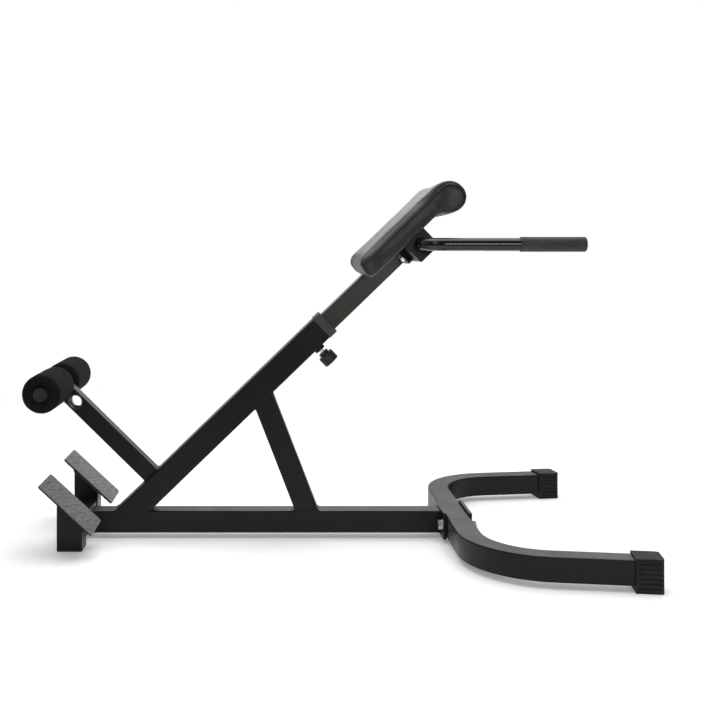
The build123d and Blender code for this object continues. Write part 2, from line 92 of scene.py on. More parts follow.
# Treads
GRAIN_TILT_DEG = 17  # of the grain, from straight across
GRAIN_PITCH = 0.0042
GRAIN_DEPTH = 0.00012
WAVES = (  # height and length of each wave in the grain, then how far and how often it sways
    (0.0020, 0.052, 1.6, 0.083),
    (0.0004, 0.021, 2.0, 0.045),
)
CUT_DEPTH = 0.0006  # of the longer curved cuts
CUT_HALF = 0.0009  # half the width of a cut
CUT_PITCH = 0.0105
CUT_CELL = 0.047  # length of a cut and the gap after it
CUT_FILL = 0.40  # half the share of the cell that the cut takes
CUT_RUN_OUT = 0.003
GROOVE_SHADE_START = 0.00022  # depth where the painted shade in a groove begins, darkest at the next depth
GROOVE_SHADE_FULL = 0.00072
TREAD_EDGE = 0.001  # radius round the tread's edge
TREAD_STEP = 0.0008
TREAD_MARGIN = 0.002  # plain strip round the pattern, and the width over which it fades in

# Foam rollers
FOAM_EDGE = 0.0095
FOAM_BORE = 0.0142
FOAM_DISH = 0.0012
FOAM_CROWN = 0.0006
FOAM_HOLE_INSET = 0.004
FOAM_PITS = ((0.00035, 55), (0.00028, 420))  # depth and frequency of the skin's unevenness
FOAM_WEAR = 0.0003  # mean depth of the skin under the CAD surface
FOAM_TURNS = 120

# Cushion
CUSHION_VOXEL = 0.0045
SKIN = 0.006  # points this near the outside belong to the cover
ROUNDING = 5  # rounds of smoothing before the cover swells
INSET = 0.0002  # how far the cover is drawn in before it swells
PRESSURE = 5.0
CLOTH_QUALITY = 5
CLOTH_MASS = 0.25
SWELL_CAP = 0.0062  # how far the cover may swell
SWELL_FRAMES = 20
SIDE_PANEL = 0.75  # faces turned this far sideways belong to the side panels, which take the darker, shaded copy of the leather
SEAM_INSET = 0.0052  # from the side panel's outline to its seam
STITCH_INSET = 0.0095
ROLL_WRAP_DEG = 250  # how far the seam goes round the roll
TUCK = 0.0028  # how deep the seam pulls the cover in
TUCK_REACH = 0.0042
SEAM_STEP = 0.001
PIPING = 0.0017  # radius of the piping in the seam
PIPING_LIFT = 0.0008
PIPING_STEP = 0.0025
STITCH = 0.0045  # length of a stitch
STITCH_GAP = 0.0018
STITCH_RADIUS = 0.00055
STITCH_LIFT = 0.0001
STITCH_PROFILE = (  # share of a stitch's length, then share of its radius there
    (0.0, 0.25),
    (0.12, 0.8),
    (0.3, 1.0),
    (0.7, 1.0),
    (0.88, 0.8),
    (1.0, 0.25),
)

# Studio
FLOOR_RADIUS = 9.0
FLOOR_DROP = 0.0002  # under the lowest CAD point
FLOOR_FADE = (0.95, 2.4)  # distances from the middle where the floor starts and ends fading out
FLOOR_GLOW = 0.22
SKY_BRIGHT = (0.0, 0.93, 0.36)  # the direction that the world's light comes from
SKY_SPAN = (-0.35, 0.9)
SKY_STRENGTH = (0.08, 0.92)
CAMERA_PLACE = (-0.104, -2.169, 0.597)
CAMERA_LENS = 53.6
CAMERA_SHIFT = (0.1163, -0.1504)
LIGHTS = (  # name, place, aim, size, power
    ("top", (0.1, 0.1, 2.7), (0.1, 0, 0.2), (2.8, 2.6), 58),
    ("back", (0.6, 2.6, 1.6), (0.0, 0, 0.3), (2.4, 1.2), 14),
    ("front_strip", (0.95, -3.2, 0.98), (0.25, 0, 0.7), (1.1, 0.5), 17),
    ("front", (-1.6, -2.4, 1.9), (0, 0, 0.3), (0.9, 0.9), 9),
)

ACROSS = Vector((0, 1, 0))
UP = Vector((0, 0, 1))
FORWARD = Vector((1, 0, 0))
SIDES = (("right", -1), ("left", 1))


def low(node):
    return Vector(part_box(node)[0])


def high(node):
    return Vector(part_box(node)[1])


def centre(node):
    return (low(node) + high(node)) / 2


def joint_axis(name):
    joints = {joint["name"]: joint for joint in RECORD["behaviour"]["joints"]}
    return Vector(joints[name]["axis"]).normalized()


def tilted(origin, along):
    """A frame with X along a direction in the XZ plane, Y across and Z up and square to both."""
    along = along.normalized()
    rotation = Matrix((along, ACROSS, along.cross(ACROSS))).transposed()
    return Matrix.Translation(origin) @ rotation.to_4x4()


def rising(degrees):
    """The direction at this angle over +X, in the XZ plane."""
    angle = math.radians(degrees)
    return Vector((math.cos(angle), 0, math.sin(angle)))


UP_SLOPE = joint_axis("post_slide")
SLOPE = tilted(centre("pad_post"), UP_SLOPE)  # on the axis of the sliding post
SLOPE_NORMAL = SLOPE.to_3x3() @ UP
PEDAL_NORMAL = rising(90 - PEDAL_DEG)
ROLLER_AXIS = centre("roller_tube")


# Materials


MIX_A, MIX_B, MIX_RESULT = 6, 7, 2  # the colour sockets of a Mix node


class Shader:
    """A procedural material with a Principled shader and short calls for its nodes."""

    def __init__(self, name, **sockets):
        self.material = bpy.data.materials.new(name)
        self.material.use_nodes = True
        self.tree = self.material.node_tree
        self.surface = self.tree.nodes["Principled BSDF"]
        self.place = self.node("ShaderNodeTexCoord").outputs["Object"]
        for socket, value in sockets.items():
            self.surface.inputs[socket.replace("_", " ")].default_value = value

    def node(self, kind, **settings):
        made = self.tree.nodes.new(kind)
        for key, value in settings.items():
            setattr(made, key, value)
        return made

    def link(self, start, end):
        self.tree.links.new(start, end)

    def noise(self, scale, detail=3.0, rough=0.55, stretch=None, distortion=0.0):
        made = self.node("ShaderNodeTexNoise")
        made.inputs["Scale"].default_value = scale
        made.inputs["Detail"].default_value = detail
        made.inputs["Roughness"].default_value = rough
        made.inputs["Distortion"].default_value = distortion
        self.link(self.stretched(stretch), made.inputs["Vector"])
        return made.outputs["Fac"]

    def cells(self, scale, feature="F1"):
        made = self.node("ShaderNodeTexVoronoi", feature=feature)
        made.inputs["Scale"].default_value = scale
        self.link(self.place, made.inputs["Vector"])
        return made.outputs["Distance"]

    def stretched(self, stretch):
        """Object coordinates, scaled differently along each axis."""
        if stretch is None:
            return self.place
        mapping = self.node("ShaderNodeMapping")
        mapping.inputs["Scale"].default_value = stretch
        self.link(self.place, mapping.inputs["Vector"])
        return mapping.outputs["Vector"]

    def ramp(self, value, low_in, high_in, low_out=0.0, high_out=1.0):
        made = self.node("ShaderNodeMapRange")
        made.inputs["From Min"].default_value = low_in
        made.inputs["From Max"].default_value = high_in
        made.inputs["To Min"].default_value = low_out
        made.inputs["To Max"].default_value = high_out
        self.link(value, made.inputs["Value"])
        return made.outputs["Result"]

    def blend(self, factor, first, second):
        """A colour between two others. Each is an output or a colour."""
        made = self.node("ShaderNodeMix", data_type="RGBA")
        for socket, colour in ((made.inputs[MIX_A], first), (made.inputs[MIX_B], second)):
            if isinstance(colour, tuple):
                socket.default_value = (*colour, 1)
            else:
                self.link(colour, socket)
        self.link(factor, made.inputs[0])
        return made.outputs[MIX_RESULT]

    def edges(self, radius, reach=0.12):
        """1 along sharp edges and 0 elsewhere."""
        bevel = self.node("ShaderNodeBevel", samples=4)
        bevel.inputs["Radius"].default_value = radius
        geometry = self.node("ShaderNodeNewGeometry")
        dot = self.node("ShaderNodeVectorMath", operation="DOT_PRODUCT")
        self.link(bevel.outputs["Normal"], dot.inputs[0])
        self.link(geometry.outputs["Normal"], dot.inputs[1])
        return self.ramp(dot.outputs["Value"], 1.0, 1.0 - reach)

    def product(self, first, second):
        made = self.node("ShaderNodeMath", operation="MULTIPLY")
        self.link(first, made.inputs[0])
        self.link(second, made.inputs[1])
        return made.outputs[0]

    def colour(self, output):
        self.link(output, self.surface.inputs["Base Color"])

    def roughness(self, output):
        self.link(output, self.surface.inputs["Roughness"])

    def bump(self, *heights):
        """Heights are (output, depth in metres) pairs, coarse first."""
        normal = None
        for output, depth in heights:
            made = self.node("ShaderNodeBump")
            made.inputs["Strength"].default_value = 1.0
            made.inputs["Distance"].default_value = depth
            self.link(output, made.inputs["Height"])
            if normal is not None:
                self.link(normal, made.inputs["Normal"])
            normal = made.outputs["Normal"]
        self.link(normal, self.surface.inputs["Normal"])


def grey(level):
    """A dark grey, a touch cooler than neutral."""
    return (level, level, level * 1.03)


def powder_coat(name, dark, light, worn, rough, specular):
    """Powder coat: fine orange peel, faint handling marks and edges worn a little lighter."""
    shader = Shader(name, Specular_IOR_Level=specular)
    marks = shader.noise(9, 4, 0.6)
    scuffs = shader.product(shader.edges(0.0016), shader.ramp(shader.noise(160, 5, 0.7), 0.35, 0.7))
    shader.colour(shader.blend(scuffs, shader.blend(marks, dark, light), worn))
    shader.roughness(shader.ramp(shader.noise(14, 5, 0.65), 0.3, 0.7, rough - 0.05, rough + 0.07))
    shader.bump((shader.noise(420, 2, 0.5), 0.00004), (shader.noise(1500, 2, 0.5), 0.00002))
    return shader.material


def gloss_paint():
    """The smooth gloss black of the handle bars."""
    shader = Shader("gloss_black_paint", Specular_IOR_Level=0.42, Coat_Weight=0.12, Coat_Roughness=0.06)
    shader.colour(shader.blend(shader.noise(20, 3), (0.004, 0.004, 0.0042), (0.009, 0.009, 0.0095)))
    shader.roughness(shader.ramp(shader.noise(35, 5, 0.6), 0.3, 0.7, 0.12, 0.20))
    shader.bump((shader.noise(260, 2, 0.5), 0.00003))
    return shader.material


def zinc():
    """Zinc plate, a little patchy."""
    shader = Shader("zinc_plate", Metallic=1.0)
    patches = shader.noise(90, 4, 0.6)
    shader.colour(shader.blend(patches, (0.62, 0.63, 0.65), (0.86, 0.86, 0.83)))
    shader.roughness(shader.ramp(shader.noise(240, 4, 0.6), 0.3, 0.7, 0.26, 0.44))
    shader.bump((shader.noise(900, 3, 0.6), 0.00003))
    return shader.material


def moulded(name, dark, light, rough, grain=1300, depth=0.00005, specular=0.4):
    """Moulded plastic or rubber with a fine spark-eroded grain."""
    shader = Shader(name, Specular_IOR_Level=specular)
    dust = shader.ramp(shader.noise(45, 5, 0.65), 0.45, 0.8)
    shader.colour(shader.blend(dust, dark, light))
    shader.roughness(shader.ramp(shader.noise(60, 4, 0.6), 0.3, 0.7, rough - 0.06, rough + 0.08))
    shader.bump((shader.noise(grain, 3, 0.6), depth))
    return shader.material


def tread_plastic():
    """Grey embossed plastic, its grooves darkened with painted shade."""
    shader = Shader("tread_plastic", Specular_IOR_Level=0.35)
    streaks = shader.noise(30, 5, 0.65, (5.0, 1.0, 5.0), 0.6)
    speckle = shader.ramp(shader.noise(700, 3, 0.7), 0.35, 0.7)
    base = shader.blend(streaks, (0.085, 0.084, 0.086), (0.16, 0.159, 0.16))
    flecked = shader.blend(shader.product(speckle, streaks), base, (0.22, 0.22, 0.215))
    groove_shade = shader.node("ShaderNodeAttribute", attribute_name="groove_shade").outputs["Fac"]
    # painted shade: the grooves go near black with their depth
    shader.colour(shader.blend(groove_shade, flecked, (0.010, 0.010, 0.0102)))
    shader.roughness(shader.ramp(shader.noise(80, 4, 0.6), 0.3, 0.7, 0.5, 0.68))
    flow = shader.noise(160, 4, 0.6, (1.0, 3.0, 1.0), 0.8)
    shader.bump((flow, 0.0002), (shader.noise(1400, 3, 0.6), 0.00005))
    return shader.material


def foam_skin():
    """Open foam: pores of two sizes, bumped in and darkened in their middles with painted shade."""
    shader = Shader("foam_skin", Specular_IOR_Level=0.12)
    pores = shader.ramp(shader.cells(620), 0.1, 0.55)
    fine = shader.ramp(shader.cells(1500), 0.1, 0.6)
    skin = shader.product(pores, fine)
    # painted shade: the colour is darkest in the middle of each pore
    shader.colour(shader.blend(skin, (0.0015, 0.0015, 0.0015), (0.013, 0.013, 0.0132)))
    shader.roughness(shader.ramp(shader.noise(120, 4), 0.3, 0.7, 0.85, 0.98))
    shader.bump((pores, 0.0009), (fine, 0.0003))
    return shader.material


def leather(name, dark, light, rough):
    """Synthetic leather: pebbled grain of flat cells with fine creases between them."""
    shader = Shader(name, Specular_IOR_Level=0.5, Coat_Weight=0.08, Coat_Roughness=0.35)
    grain = shader.ramp(shader.cells(800, "DISTANCE_TO_EDGE"), 0.0, 0.22)
    pebble = shader.cells(1500)
    creases = shader.ramp(shader.noise(38, 6, 0.7, None, 1.2), 0.42, 0.52)
    handled = shader.noise(7, 4, 0.6)
    # Colour: partly painted shade, darkest in the creases between grain cells, and partly random tone
    # from handling
    shader.colour(shader.blend(shader.product(grain, handled), dark, light))
    polish = shader.product(grain, shader.noise(22, 5, 0.6))
    shader.roughness(shader.ramp(polish, 0.1, 0.6, rough + 0.14, rough))
    shader.bump((creases, 0.00008), (grain, 0.00006), (pebble, 0.00003))
    return shader.material


def plywood():
    """The pad's board: stretched rings and an open grain."""
    shader = Shader("plywood", Specular_IOR_Level=0.3)
    rings = shader.noise(16, 6, 0.65, (1.0, 7.0, 22.0), 1.5)
    shader.colour(shader.blend(rings, (0.30, 0.19, 0.10), (0.55, 0.41, 0.25)))
    shader.roughness(shader.ramp(rings, 0.3, 0.7, 0.6, 0.8))
    shader.bump((shader.noise(60, 5, 0.7, (1.0, 8.0, 8.0)), 0.0003))
    return shader.material


def thread():
    """Twisted sewing thread."""
    shader = Shader("sewing_thread", Specular_IOR_Level=0.3, Sheen_Weight=0.2)
    shader.colour(shader.blend(shader.noise(900, 3), grey(0.04), grey(0.11)))
    shader.roughness(shader.ramp(shader.noise(500, 3), 0.3, 0.7, 0.6, 0.8))
    shader.bump((shader.noise(2600, 2, 0.5, (1.0, 3.0, 1.0)), 0.0001))
    return shader.material


def make_materials():
    return {
        "frame_paint": powder_coat(
            "satin_black_paint", grey(0.0030), grey(0.0058), grey(0.035), 0.37, 0.21
        ),
        "post_paint": powder_coat(
            "post_paint", (0.018, 0.0165, 0.0125), (0.030, 0.028, 0.022), (0.07, 0.065, 0.055), 0.36, 0.45
        ),
        "gloss_paint": gloss_paint(),
        "zinc": zinc(),
        "black_plastic": moulded("black_plastic", grey(0.009), grey(0.022), 0.48),
        "collar_plastic": moulded("collar_plastic", grey(0.038), grey(0.065), 0.5),
        "tread_plastic": tread_plastic(),
        "cap_rubber": moulded("cap_rubber", grey(0.007), grey(0.020), 0.62, 900, 0.00008, 0.22),
        "grip_rubber": moulded("grip_rubber", grey(0.03), grey(0.05), 0.6, 1100, 0.00014, 0.4),
        "foam": foam_skin(),
        # pad_leather is the lit copy: warmer and lighter than the side leather, a painted sheen on the
        # top, low end and roll
        "pad_leather": leather("pad_leather", (0.034, 0.029, 0.0245), (0.070, 0.060, 0.051), 0.36),
        # the shaded copy of the same leather, painted darker, for the side panels and the piping
        "side_leather_shaded": leather("side_leather_shaded", (0.009, 0.0092, 0.0098), (0.019, 0.0192, 0.020), 0.32),
        "board_wood": plywood(),
        "thread": thread(),
    }


MATERIALS = make_materials()


def dress_cad_nodes():
    """Give each CAD node the material of its slot in the record."""
    for subpart in RECORD["subparts"]:
        node = NODES[subpart["node"]]
        node.data.materials.clear()
        node.data.materials.append(MATERIALS[subpart["material_slot"]])


# Mesh helpers


def add_piece(name, mesh, body, slot, material=None, replaces=()):
    piece = bpy.data.objects.new(name, mesh)
    bpy.context.scene.collection.objects.link(piece)
    mesh.materials.clear()
    mesh.materials.append(MATERIALS[material or slot])
    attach(piece, body)
    if replaces:
        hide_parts(*replaces)
    return piece


def mesh_of(name, verts, faces):
    """A smooth-shaded mesh whose faces all look outward."""
    mesh = bpy.data.meshes.new(name)
    mesh.from_pydata([tuple(v) for v in verts], [], faces)
    work = bmesh.new()
    work.from_mesh(mesh)
    bmesh.ops.recalc_face_normals(work, faces=work.faces)
    work.to_mesh(mesh)
    work.free()
    mesh.shade_smooth()
    return mesh


def rings_mesh(name, rings, closed_path=False):
    """A tube mesh through rings that all have the same number of points."""
    count = len(rings[0])
    verts = [point for ring in rings for point in ring]
    faces = []
    spans = len(rings) if closed_path else len(rings) - 1
    for i in range(spans):
        here, there = i * count, ((i + 1) % len(rings)) * count
        for j in range(count):
            k = (j + 1) % count
            faces.append((here + j, here + k, there + k, there + j))
    if not closed_path:
        faces.append(tuple(reversed(range(count))))
        faces.append(tuple(range(len(verts) - count, len(verts))))
    return mesh_of(name, verts, faces)


def even_points(path, step, closed):
    """Points spaced evenly along a polyline."""
    points = list(path) + ([path[0]] if closed else [])
    lengths = [0.0]
    for a, b in zip(points, points[1:]):
        lengths.append(lengths[-1] + (b - a).length)
    count = max(8, round(lengths[-1] / step))
    result, k = [], 0
    for i in range(count if closed else count + 1):
        want = lengths[-1] * i / count
        while k < len(lengths) - 2 and lengths[k + 1] < want:
            k += 1
        span = lengths[k + 1] - lengths[k]
        result.append(points[k].lerp(points[k + 1], (want - lengths[k]) / span if span else 0.0))
    return result


OFF_AXIS = Vector((0.13, 0.21, 0.97)).normalized()  # no path here runs this way


def along_path(points, closed, sides, radius_at):
    """Rings of points square to a path. radius_at(i) gives each ring's radius."""
    rings = []
    count = len(points)
    for i, point in enumerate(points):
        before = points[(i - 1) % count] if closed or i else point
        after = points[(i + 1) % count] if closed or i < count - 1 else point
        along = (after - before).normalized()
        side = along.cross(OFF_AXIS).normalized()
        up = side.cross(along)
        radius = radius_at(i)
        turn = [2 * math.pi * j / sides for j in range(sides)]
        rings.append([point + radius * (math.cos(t) * side + math.sin(t) * up) for t in turn])
    return rings


def ring_path(middle, across, up, half_across, half_up, corner=BEAD_CORNER):
    """A closed path round a rounded rectangle."""
    path = []
    for quarter, (sx, sy) in enumerate(((1, 1), (-1, 1), (-1, -1), (1, -1))):
        for k in range(4):
            angle = math.pi / 2 * (quarter + k / 3)
            a = sx * (half_across - corner) + corner * math.cos(angle)
            b = sy * (half_up - corner) + corner * math.sin(angle)
            path.append(middle + a * across + b * up)
    return path


# Welds


def weld(name, path, body="frame"):
    """A painted weld bead round a joint, with the ripples of a row of small pools."""
    points = even_points(path, BEAD_STEP, closed=True)

    def radius_at(i):
        pool = 0.5 + 0.5 * math.cos(2 * math.pi * i / 3)
        return BEAD * (0.88 + 0.16 * pool + 0.12 * noise.noise(points[i] * 90))

    mesh = rings_mesh(name, along_path(points, True, 8, radius_at), closed_path=True)
    add_piece(name, mesh, body, "frame_paint")


def slope_crossing(v, z):
    """The point where the line at height v over the sliding axis passes height z."""
    point = SLOPE.translation + v * SLOPE_NORMAL
    return point + UP_SLOPE * ((z - point.z) / UP_SLOPE.z)


def distance_to_slope(start, direction, v):
    """How far a line goes from its start to the plane at height v over the sliding axis."""
    gap = SLOPE.translation + v * SLOPE_NORMAL - start
    return gap.dot(SLOPE_NORMAL) / direction.dot(SLOPE_NORMAL)


def weld_frame():
    beam_top = high("base_beam").z
    rear = slope_crossing(MAIN / 2, beam_top)
    front = slope_crossing(-MAIN / 2, beam_top)
    half = (front - rear).length / 2
    weld("weld_main_tube", ring_path((rear + front) / 2, FORWARD, ACROSS, half, TUBE / 2 + 0.001))

    lean = rising(BRACE_DEG)
    wide = TUBE / 2 / lean.z
    foot = Vector((high("support_brace").x - wide, 0, beam_top))
    weld("weld_brace_foot", ring_path(foot, FORWARD, ACROSS, wide, TUBE / 2))

    top = foot + lean * distance_to_slope(foot, lean, -MAIN / 2)
    half = TUBE / 2 / lean.cross(UP_SLOPE).length
    weld("weld_brace_top", ring_path(top, UP_SLOPE, ACROSS, half, TUBE / 2))

    down = rising(-ROLLER_POST_DEG)
    root = ROLLER_AXIS + down * distance_to_slope(ROLLER_AXIS, down, MAIN / 2)
    half = ROLLER_TUBE / 2 / down.cross(UP_SLOPE).length
    weld("weld_roller_post", ring_path(root, UP_SLOPE, ACROSS, half, ROLLER_TUBE / 2))

    beam = centre("base_beam")
    for name, x in (("weld_beam_front", high("base_beam").x), ("weld_beam_rear", low("base_beam").x)):
        weld(name, ring_path(Vector((x, 0, beam.z)), ACROSS, UP, TUBE / 2, TUBE / 2))


def weld_post_end():
    height = (high("pad_post") - low("pad_post")).z
    half_length = (height - SLIM * UP_SLOPE.x) / UP_SLOPE.z / 2
    post_end = SLOPE.translation + UP_SLOPE * half_length
    weld("weld_post_end", ring_path(post_end, ACROSS, SLOPE_NORMAL, SLIM / 2, SLIM / 2), "carriage")


def weld_side(word, side):
    """The beads that the chair has once on each side."""
    cross = centre("rear_cross_tube")
    inner = Vector((cross.x, side * high("rear_cross_tube").y, cross.z))
    weld("weld_rear_post_" + word, ring_path(inner, FORWARD, UP, TUBE / 2, TUBE / 2))

    plate = centre("footplate_" + word) - PEDAL_NORMAL * PEDAL_PLATE / 2
    post = centre("rear_post_" + word)
    down = rising(-PEDAL_DEG)
    head = plate + down * ((post.x - plate.x) / down.x)
    head.y = post.y
    weld("weld_footplate_" + word, ring_path(head, down, ACROSS, STOUT / 2 / down.x, STOUT / 2))

    node = "cross_tube_end_" + word
    root = centre(node)
    root.y = side * max(abs(low(node).y), abs(high(node).y))
    circle = ring_path(root, FORWARD, UP, BAR / 2, BAR / 2, BAR / 2 - 0.0005)
    weld("weld_handle_" + word, circle, "carriage")


def add_welds():
    weld_frame()
    weld_post_end()
    for word, side in SIDES:
        weld_side(word, side)


# Footplate treads


def tread_relief(x, y):
    """Depth of the moulded pattern: fine wavy grain across the plate and longer curved cuts along it."""
    tilt = math.radians(GRAIN_TILT_DEG)
    run = y * math.cos(tilt) + x * math.sin(tilt)
    across = x * math.cos(tilt) - y * math.sin(tilt)
    for height, length, sway, sway_length in WAVES:
        phase = sway * math.sin(2 * math.pi * across / sway_length)
        across += height * math.sin(2 * math.pi * run / length + phase)
    depth = GRAIN_DEPTH * (1 + math.sin(2 * math.pi * across / GRAIN_PITCH))
    row = math.floor(across / CUT_PITCH)
    stagger = CUT_CELL * (0.5 * (row % 2) + 0.13 * ((row * 5) % 3))
    along = (run + stagger) / CUT_CELL
    end = (CUT_FILL - abs(along - math.floor(along) - 0.5)) * CUT_CELL
    off = (across / CUT_PITCH - row - 0.5) * CUT_PITCH
    if end > 0:
        depth += CUT_DEPTH * max(0.0, 1 - (off / CUT_HALF) ** 2) * min(1.0, end / CUT_RUN_OUT)
    return depth


def tread_mesh(name, place):
    """A rounded plate with the pattern on top and a small radius round its edge."""
    half_x, half_y = PEDAL_LENGTH / 2 - TREAD_EDGE, PEDAL_WIDTH / 2 - TREAD_EDGE
    corner = PEDAL_CORNER - TREAD_EDGE
    columns, rows = round(2 * half_x / TREAD_STEP), round(2 * half_y / TREAD_STEP)
    verts, faces = [], []

    def rounded(x, y):
        """A point of the rectangular grid, moved in where the corners are round."""
        dx, dy = abs(x) - (half_x - corner), abs(y) - (half_y - corner)
        if dx <= 0 or dy <= 0:
            return x, y
        fx = dx * math.sqrt(1 - dy * dy / (2 * corner * corner))
        fy = dy * math.sqrt(1 - dx * dx / (2 * corner * corner))
        return math.copysign(half_x - corner + fx, x), math.copysign(half_y - corner + fy, y)

    for j in range(rows + 1):
        for i in range(columns + 1):
            x, y = rounded(-half_x + 2 * half_x * i / columns, -half_y + 2 * half_y * j / rows)
            margin = min(half_x - abs(x), half_y - abs(y))
            fade = min(1.0, max(0.0, (margin - TREAD_MARGIN) / TREAD_MARGIN))
            verts.append(Vector((x, y, -fade * tread_relief(x, y))))
    for j in range(rows):
        for i in range(columns):
            a = j * (columns + 1) + i
            faces.append((a, a + 1, a + columns + 2, a + columns + 1))
    border = list(range(columns + 1))
    border += [j * (columns + 1) + columns for j in range(1, rows + 1)]
    border += [rows * (columns + 1) + i for i in range(columns - 1, -1, -1)]
    border += [j * (columns + 1) for j in range(rows - 1, 0, -1)]
    core_x, core_y = half_x - corner, half_y - corner

    def outward(p):
        q = Vector((max(-core_x, min(core_x, p.x)), max(-core_y, min(core_y, p.y)), 0))
        away = Vector((p.x, p.y, 0)) - q
        return away.normalized()

    turns = (0.5, 1.0, math.pi / 2)
    profile = [(TREAD_EDGE * math.sin(a), -TREAD_EDGE * (1 - math.cos(a))) for a in turns]
    profile.append((TREAD_EDGE, -TREAD))
    ring = border
    for out, z in profile:
        start = len(verts)
        for index in border:
            spot = verts[index] + outward(verts[index]) * out
            spot.z = z
            verts.append(spot)
        fresh = list(range(start, start + len(border)))
        for k in range(len(border)):
            m = (k + 1) % len(border)
            faces.append((ring[k], ring[m], fresh[m], fresh[k]))
        ring = fresh
    faces.append(tuple(reversed(ring)))
    mesh = mesh_of(name, [place @ v for v in verts], faces)
    # each point's depth in a groove, which sets the painted shade in the grooves
    groove_shade = mesh.attributes.new("groove_shade", "FLOAT", "POINT")
    for i in range((columns + 1) * (rows + 1)):
        cut = (-verts[i].z - GROOVE_SHADE_START) / (GROOVE_SHADE_FULL - GROOVE_SHADE_START)
        groove_shade.data[i].value = min(1.0, max(0.0, cut))
    return mesh


def add_treads():
    for word in ("right", "left"):
        node = "footplate_tread_" + word
        place = tilted(centre(node) + PEDAL_NORMAL * TREAD / 2, rising(-PEDAL_DEG))
        mesh = tread_mesh("tread_" + word, place)
        add_piece("tread_" + word, mesh, "frame", "tread_plastic", replaces=(node,))


# Foam rollers


def foam_mesh(name, node):
    """A foam tube: crowned a little, rounded ends that dish in round the bore, uneven skin."""
    (x0, y0, z0), (x1, y1, z1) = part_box(node)
    radius, half = (x1 - x0) / 2, (y1 - y0) / 2
    middle = Vector(((x0 + x1) / 2, (y0 + y1) / 2, (z0 + z1) / 2))
    core = radius - FOAM_EDGE
    end = []
    for k in range(7):
        dish = FOAM_DISH * math.cos(math.pi * k / 6)
        end.append((FOAM_BORE + (core - FOAM_BORE) * k / 6, half - dish))
    for k in range(1, 8):
        angle = math.pi / 2 * (1 - k / 8)
        end.append((core + FOAM_EDGE * math.cos(angle), half - FOAM_EDGE + FOAM_EDGE * math.sin(angle)))
    straight = 34
    levels = [(half - FOAM_EDGE) * (1 - 2 * k / straight) for k in range(straight + 1)]
    side = [(radius - FOAM_CROWN * (y / half) ** 4, y) for y in levels]
    other_end = [(r, -y) for r, y in reversed(end)]
    hole = [(FOAM_BORE, (half - FOAM_HOLE_INSET) * (k / 3 - 1)) for k in range(7)]
    profile = end + side + other_end + hole
    rings = []
    for r, y in profile:
        ring = []
        for j in range(FOAM_TURNS):
            angle = 2 * math.pi * j / FOAM_TURNS
            point = middle + Vector((r * math.cos(angle), y, r * math.sin(angle)))
            pits = sum(depth * noise.noise(point * often) for depth, often in FOAM_PITS)
            lift = min(0.0, pits - FOAM_WEAR) if r > FOAM_BORE + 0.001 else 0.0
            ring.append(point + Vector((math.cos(angle), 0, math.sin(angle))) * lift)
        rings.append(ring)
    return rings_mesh(name, rings, closed_path=True)


def add_foams():
    for word in ("right", "left"):
        node = "roller_foam_" + word
        mesh = foam_mesh("foam_" + word, node)
        piece = add_piece("foam_" + word, mesh, "roller_" + word, "foam", replaces=(node,))


# Hip pad


def pad_frame():
    """Places on the pad in the sloping frame, read from its CAD solid."""
    inverse = SLOPE.inverted()
    points = [inverse @ v.co for v in NODES["hip_pad"].data.vertices]
    end = max(p.x for p in points)
    behind_roll = end - 2 * ROLL - CLEAR_OF_ROLL
    return {
        "start": min(p.x for p in points),
        "end": end,
        "half": max(p.y for p in points),
        "top": max(p.z for p in points),
        "rim": min(p.z for p in points if p.x < behind_roll),
    }


PAD = pad_frame()
ROLL_U = PAD["end"] - ROLL
ROLL_V = PAD["top"] - ROLL


def base_cushion():
    """The CAD cushion in its own sloping frame, remeshed to even quads."""
    source = bpy.data.objects.new("cushion_source", NODES["hip_pad"].data.copy())
    bpy.context.scene.collection.objects.link(source)
    source.data.transform(SLOPE.inverted())
    work = bmesh.new()
    work.from_mesh(source.data)
    bmesh.ops.remove_doubles(work, verts=work.verts, dist=1e-6)
    work.to_mesh(source.data)
    work.free()
    remesh = source.modifiers.new("remesh", "REMESH")
    remesh.mode = "VOXEL"
    remesh.voxel_size = CUSHION_VOXEL
    graph = bpy.context.evaluated_depsgraph_get()
    mesh = bpy.data.meshes.new_from_object(source.evaluated_get(graph))
    bpy.data.objects.remove(source)
    return mesh


def is_outer(p):
    """True on the cushion's outside, False on its underside and in the board's recess."""
    side = PAD["half"] - abs(p.y) < SKIN
    end = p.x - PAD["start"] < SKIN
    top = PAD["top"] - p.z < SKIN
    roll = math.hypot(p.x - ROLL_U, p.z - ROLL_V) > ROLL - SKIN and p.x > ROLL_U - ROLL
    return side or end or top or roll


def relax(work, verts, rounds):
    axes = {"use_axis_x": True, "use_axis_y": True, "use_axis_z": True}
    for _ in range(rounds):
        bmesh.ops.smooth_vert(work, verts=verts, factor=0.5, **axes)


def soften(mesh):
    """Round the cushion's edges and draw its outside in. Gives the points that stay pinned."""
    work = bmesh.new()
    work.from_mesh(mesh)
    outer = [v for v in work.verts if is_outer(v.co)]
    pins = [v.index for v in work.verts if not is_outer(v.co)]
    relax(work, outer, ROUNDING)
    work.normal_update()
    moves = [(v, v.normal * INSET) for v in outer]
    for v, move in moves:
        v.co -= move
    work.to_mesh(mesh)
    work.free()
    return pins


